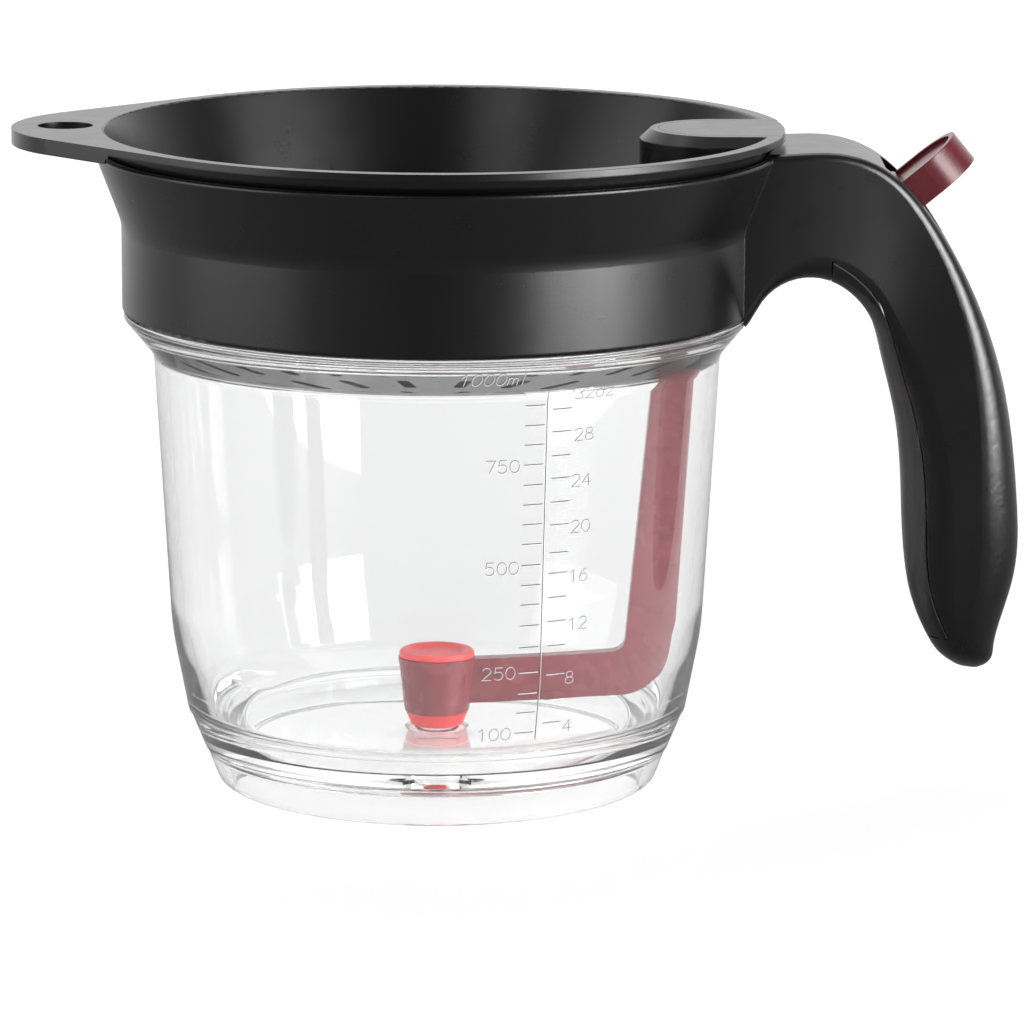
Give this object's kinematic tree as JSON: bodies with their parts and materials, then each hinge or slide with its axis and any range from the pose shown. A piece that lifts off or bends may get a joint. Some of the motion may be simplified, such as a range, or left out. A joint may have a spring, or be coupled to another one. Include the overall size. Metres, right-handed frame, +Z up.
{
  "type": "gravy fat separator",
  "caption": "Clear measuring cup with a black collar and arched handle, a lift-out strainer, and a thumb lever that raises a silicone plug out of a drain in the floor.",
  "frame": {"origin": "on the surface the cup stands on, under the middle of the whole object's box", "axes": "+X from the hanging tab towards the handle, +Z up along the cup's axis"},
  "size_m": [0.2219, 0.1526, 0.1455],
  "materials": {
    "clear_plastic": "clear, polished",
    "black_plastic": "satin",
    "grip_plastic": "fine matt",
    "plate_plastic": "satin",
    "steel": "drawn wire",
    "maroon_plastic": "glossy",
    "red_silicone": "smooth silicone"
  },
  "bodies": {
    "vessel": {"cup": "clear_plastic", "collar_handle": "black_plastic", "grip_cover": "grip_plastic", "pivot_pin": "steel", "return_spring": "steel"},
    "lever": {"lever": "maroon_plastic", "plug": "red_silicone"},
    "strainer": {"strainer": "black_plastic", "tongue_plate": "plate_plastic"}
  },
  "joints": [
    {"name": "lever_rock", "type": "hinge", "parent": "vessel", "child": "lever", "pos_m": [0.06323, 0, 0.1285], "axis": [0, 1, 0], "range_deg": [0, 5.2], "stiffness_Nm_per_rad": 1.2, "springref_deg": -5.73, "deforming": ["return_spring"]},
    {"name": "strainer_lift", "type": "slide", "parent": "vessel", "child": "strainer", "axis": [0, 0, 1], "range_m": [0, 0.09]}
  ]
}
